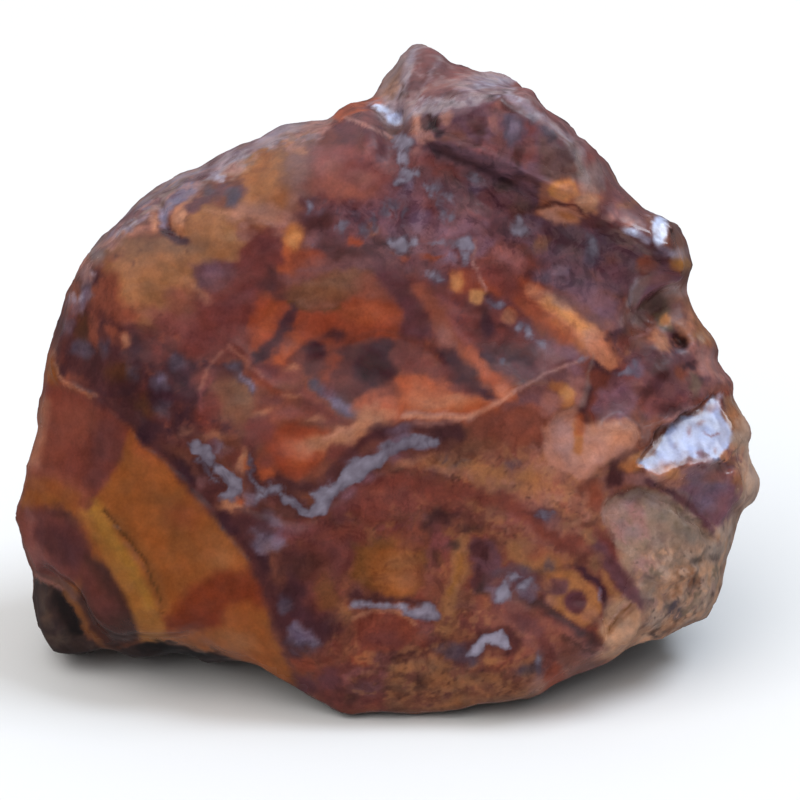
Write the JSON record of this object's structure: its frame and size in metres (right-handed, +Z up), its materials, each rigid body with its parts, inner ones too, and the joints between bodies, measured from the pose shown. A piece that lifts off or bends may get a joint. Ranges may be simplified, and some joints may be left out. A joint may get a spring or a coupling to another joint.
{
  "type": "rough jasper",
  "caption": "Rough jasper: a broken, fist-sized stone with a broad face, a peak, rough sides and a worn flat base.",
  "frame": {"origin": "under the middle of the stone's box, on the plane it rests on", "axes": "+X to the right across the broken face, -Y towards the viewer of that face, +Z up"},
  "size_m": [0.1064, 0.0634, 0.0832],
  "materials": {
    "jasper": "gloss"
  },
  "bodies": {
    "root": {"stone": "jasper"}
  },
  "joints": []
}
